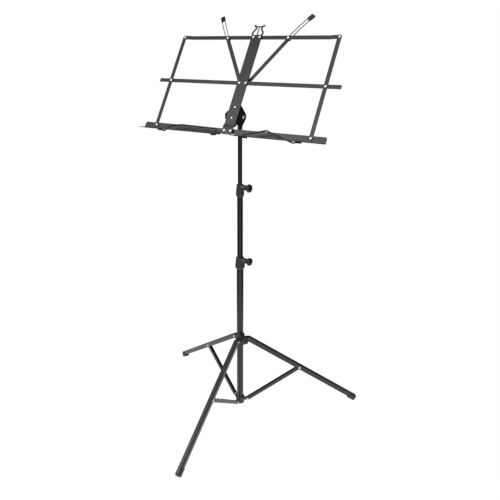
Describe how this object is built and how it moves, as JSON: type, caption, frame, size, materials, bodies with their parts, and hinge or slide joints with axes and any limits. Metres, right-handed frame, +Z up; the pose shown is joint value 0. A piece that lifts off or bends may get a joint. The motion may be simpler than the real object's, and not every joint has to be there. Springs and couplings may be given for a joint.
{
  "type": "folding music stand",
  "caption": "Folding music stand: tripod base, telescoping mast with clamp collars, and a tilting riveted lattice desk with ledges, page wires, page arms and a lyre crest.",
  "frame": {"origin": "on the floor under the mast's axis", "axes": "+Z up the mast, -Y the way the desk faces, +X to the right of a person facing along +Y, towards the desk"},
  "size_m": [0.6077, 0.5591, 1.0711],
  "materials": {
    "tube_enamel": "satin black enamel on steel tube",
    "leg_enamel": "satin black enamel on folded steel",
    "desk_enamel": "satin black enamel on steel strip",
    "dark_enamel": "deep black enamel on bent steel",
    "black_moulding": "moulded, fine texture",
    "knob_moulding": "moulded, soft sheen",
    "foot_rubber": "matt rubber",
    "nickel": "bright nickel plate"
  },
  "bodies": {
    "mast_base": {"lower_tube": "tube_enamel", "bottom_hub": "black_moulding", "bottom_hub_pins": "nickel", "lower_collar": "black_moulding", "lower_nut": "nickel"},
    "lower_shoe": {"lower_shoe": "black_moulding"},
    "lower_knob": {"lower_screw": "nickel", "lower_knob": "knob_moulding"},
    "middle_bush": {"middle_bush": "black_moulding"},
    "middle_tube": {"middle_tube": "tube_enamel", "upper_collar": "black_moulding", "upper_nut": "nickel"},
    "upper_shoe": {"upper_shoe": "black_moulding"},
    "upper_knob": {"upper_screw": "nickel", "upper_knob": "knob_moulding"},
    "upper_bush": {"upper_bush": "black_moulding"},
    "upper_tube": {"upper_tube": "tube_enamel", "mast_head": "black_moulding"},
    "desk": {"tilt_bracket": "dark_enamel", "tilt_bolt": "nickel", "spine": "desk_enamel", "spine_rivets": "nickel"},
    "tilt_washer": {"tilt_washer": "nickel"},
    "tilt_knob": {"tilt_knob": "knob_moulding"},
    "brace_right": {"brace_right": "leg_enamel", "brace_pin_right": "nickel"},
    "leg_right": {"leg_right": "leg_enamel", "foot_right": "foot_rubber"},
    "brace_back": {"brace_back": "leg_enamel", "brace_pin_back": "nickel"},
    "leg_back": {"leg_back": "leg_enamel", "foot_back": "foot_rubber"},
    "brace_front": {"brace_front": "leg_enamel", "brace_pin_front": "nickel"},
    "leg_front": {"leg_front": "leg_enamel", "foot_front": "foot_rubber"},
    "leg_hub": {"leg_hub": "black_moulding", "leg_hub_pins": "nickel", "hub_nut": "nickel"},
    "hub_shoe": {"hub_shoe": "black_moulding"},
    "hub_knob": {"hub_screw": "nickel", "hub_knob": "knob_moulding"},
    "ledge_left": {"ledge_left": "desk_enamel"},
    "mid_bar_left": {"mid_bar_left": "desk_enamel"},
    "top_bar_left": {"top_bar_left": "desk_enamel", "arm_pin_left": "nickel"},
    "link_left": {"link_left": "desk_enamel", "link_rivets_left": "nickel"},
    "arm_left": {"arm_left": "desk_enamel", "arm_tip_left": "knob_moulding"},
    "page_wire_left": {"page_wire_left": "dark_enamel"},
    "ledge_right": {"ledge_right": "desk_enamel"},
    "mid_bar_right": {"mid_bar_right": "desk_enamel"},
    "top_bar_right": {"top_bar_right": "desk_enamel", "arm_pin_right": "nickel"},
    "link_right": {"link_right": "desk_enamel", "link_rivets_right": "nickel"},
    "arm_right": {"arm_right": "desk_enamel", "arm_tip_right": "knob_moulding"},
    "page_wire_right": {"page_wire_right": "dark_enamel"}
  },
  "joints": [
    {"name": "middle_slide", "type": "slide", "parent": "mast_base", "child": "middle_bush", "axis": [0, 0, 1], "range_m": [-0.16, 0.185]},
    {"name": "middle_swivel", "type": "hinge", "parent": "middle_bush", "child": "middle_tube", "pos_m": [0, 0, 0.441], "axis": [0, 0, 1], "continuous": true},
    {"name": "upper_slide", "type": "slide", "parent": "middle_tube", "child": "upper_bush", "axis": [0, 0, 1], "range_m": [-0.09, 0.2]},
    {"name": "upper_swivel", "type": "hinge", "parent": "upper_bush", "child": "upper_tube", "pos_m": [0, 0, 0.629], "axis": [0, 0, 1], "continuous": true},
    {"name": "desk_tilt", "type": "hinge", "parent": "upper_tube", "child": "desk", "pos_m": [0, 0, 0.8319], "axis": [-1, 0, 0], "range_deg": [-26, 55]},
    {"name": "lower_shoe_slide", "type": "slide", "parent": "mast_base", "child": "lower_shoe", "axis": [1, 0, 0], "range_m": [0, 0.001]},
    {"name": "lower_knob_turn", "type": "hinge", "parent": "lower_shoe", "child": "lower_knob", "pos_m": [0.025, 0, 0.4536], "axis": [1, 0, 0], "range_deg": [0, 360]},
    {"name": "upper_shoe_slide", "type": "slide", "parent": "middle_tube", "child": "upper_shoe", "axis": [1, 0, 0], "range_m": [0, 0.001]},
    {"name": "upper_knob_turn", "type": "hinge", "parent": "upper_shoe", "child": "upper_knob", "pos_m": [0.025, 0, 0.6536], "axis": [1, 0, 0], "range_deg": [0, 360]},
    {"name": "hub_shoe_slide", "type": "slide", "parent": "leg_hub", "child": "hub_shoe", "axis": [0.866, -0.5, 0], "range_m": [0, 0.001]},
    {"name": "hub_knob_turn", "type": "hinge", "parent": "hub_shoe", "child": "hub_knob", "pos_m": [0.02165, -0.0125, 0.22384], "axis": [0.866, -0.5, 0], "range_deg": [0, 360]},
    {"name": "tilt_washer_slide", "type": "slide", "parent": "desk", "child": "tilt_washer", "axis": [-1, 0, 0], "range_m": [0, 0.0008]},
    {"name": "tilt_knob_turn", "type": "hinge", "parent": "tilt_washer", "child": "tilt_knob", "pos_m": [-0.025, 0, 0.8319], "axis": [-1, 0, 0], "range_deg": [0, 270]},
    {"name": "brace_right_fold", "type": "hinge", "parent": "mast_base", "child": "brace_right", "pos_m": [0.01772, 0.01287, 0.0186], "axis": [0.5878, -0.809, 0], "range_deg": [0, 53]},
    {"name": "leg_right_fold", "type": "hinge", "parent": "brace_right", "child": "leg_right", "pos_m": [0.13983, 0.10159, 0.11722], "axis": [0.5878, -0.809, 0], "range_deg": [-106, 0]},
    {"name": "brace_back_fold", "type": "hinge", "parent": "mast_base", "child": "brace_back", "pos_m": [-0.02001, 0.00891, 0.0186], "axis": [0.4067, 0.9135, 0], "range_deg": [0, 53]},
    {"name": "leg_back_fold", "type": "hinge", "parent": "brace_back", "child": "leg_back", "pos_m": [-0.15789, 0.0703, 0.11722], "axis": [0.4067, 0.9135, 0], "range_deg": [-106, 0]},
    {"name": "brace_front_fold", "type": "hinge", "parent": "mast_base", "child": "brace_front", "pos_m": [0.00229, -0.02178, 0.0186], "axis": [-0.9945, -0.1045, 0], "range_deg": [0, 53]},
    {"name": "leg_front_fold", "type": "hinge", "parent": "brace_front", "child": "leg_front", "pos_m": [0.01807, -0.17189, 0.11722], "axis": [-0.9945, -0.1045, 0], "range_deg": [-106, 0]},
    {"name": "leg_hub_swing", "type": "hinge", "parent": "leg_front", "child": "leg_hub", "pos_m": [0.00229, -0.02178, 0.21584], "axis": [-0.9945, -0.1045, 0], "range_deg": [0, 53]},
    {"name": "ledge_left_fold", "type": "hinge", "parent": "desk", "child": "ledge_left", "pos_m": [-0.00905, -0.05607, 0.80368], "axis": [0, 0.852, -0.5235], "range_deg": [0, 84]},
    {"name": "mid_bar_left_fold", "type": "hinge", "parent": "desk", "child": "mid_bar_left", "pos_m": [-0.00905, 0.01073, 0.9124], "axis": [0, 0.852, -0.5235], "range_deg": [0, 84]},
    {"name": "top_bar_left_fold", "type": "hinge", "parent": "desk", "child": "top_bar_left", "pos_m": [-0.00905, 0.07617, 1.0189], "axis": [0, 0.852, -0.5235], "range_deg": [0, 84]},
    {"name": "link_left_fold", "type": "hinge", "parent": "ledge_left", "child": "link_left", "pos_m": [-0.2216, -0.05607, 0.80368], "axis": [0, 0.852, -0.5235], "range_deg": [-84, 0]},
    {"name": "arm_left_swing", "type": "hinge", "parent": "desk", "child": "arm_left", "pos_m": [-0.00905, 0.01073, 0.9124], "axis": [0, 0.852, -0.5235], "range_deg": [0, 29.81]},
    {"name": "page_wire_left_flip", "type": "hinge", "parent": "ledge_left", "child": "page_wire_left", "pos_m": [0, -0.0718, 0.79396], "axis": [1, 0, 0], "range_deg": [-15, 15]},
    {"name": "ledge_right_fold", "type": "hinge", "parent": "desk", "child": "ledge_right", "pos_m": [0.00905, -0.05607, 0.80368], "axis": [0, -0.852, 0.5235], "range_deg": [0, 84]},
    {"name": "mid_bar_right_fold", "type": "hinge", "parent": "desk", "child": "mid_bar_right", "pos_m": [0.00905, 0.01073, 0.9124], "axis": [0, -0.852, 0.5235], "range_deg": [0, 84]},
    {"name": "top_bar_right_fold", "type": "hinge", "parent": "desk", "child": "top_bar_right", "pos_m": [0.00905, 0.07617, 1.0189], "axis": [0, -0.852, 0.5235], "range_deg": [0, 84]},
    {"name": "link_right_fold", "type": "hinge", "parent": "ledge_right", "child": "link_right", "pos_m": [0.2216, -0.05607, 0.80368], "axis": [0, -0.852, 0.5235], "range_deg": [-84, 0]},
    {"name": "arm_right_swing", "type": "hinge", "parent": "desk", "child": "arm_right", "pos_m": [0.00905, 0.01073, 0.9124], "axis": [0, -0.852, 0.5235], "range_deg": [0, 29.81]},
    {"name": "page_wire_right_flip", "type": "hinge", "parent": "ledge_right", "child": "page_wire_right", "pos_m": [0, -0.0718, 0.79396], "axis": [1, 0, 0], "range_deg": [-15, 15]}
  ],
  "couplings": [
    {"joint": "lower_shoe_slide", "follows": "lower_knob_turn", "m_per_rad": 0.00015915},
    {"joint": "upper_shoe_slide", "follows": "upper_knob_turn", "m_per_rad": 0.00015915},
    {"joint": "hub_knob_turn", "follows": "hub_shoe_slide", "rad_per_m": 6283.2},
    {"joint": "tilt_washer_slide", "follows": "tilt_knob_turn", "m_per_rad": 0.00015915},
    {"joint": "leg_right_fold", "follows": "brace_right_fold", "ratio": -2},
    {"joint": "brace_back_fold", "follows": "brace_right_fold", "ratio": 1},
    {"joint": "leg_back_fold", "follows": "brace_right_fold", "ratio": -2},
    {"joint": "brace_front_fold", "follows": "brace_right_fold", "ratio": 1},
    {"joint": "leg_front_fold", "follows": "brace_right_fold", "ratio": -2},
    {"joint": "leg_hub_swing", "follows": "brace_right_fold", "ratio": 1},
    {"joint": "mid_bar_left_fold", "follows": "ledge_left_fold", "ratio": 1},
    {"joint": "top_bar_left_fold", "follows": "ledge_left_fold", "ratio": 1},
    {"joint": "link_left_fold", "follows": "ledge_left_fold", "ratio": -1},
    {"joint": "arm_left_swing", "follows": "ledge_left_fold", "ratio": 0.3548},
    {"joint": "mid_bar_right_fold", "follows": "ledge_right_fold", "ratio": 1},
    {"joint": "top_bar_right_fold", "follows": "ledge_right_fold", "ratio": 1},
    {"joint": "link_right_fold", "follows": "ledge_right_fold", "ratio": -1},
    {"joint": "arm_right_swing", "follows": "ledge_right_fold", "ratio": 0.3548}
  ]
}
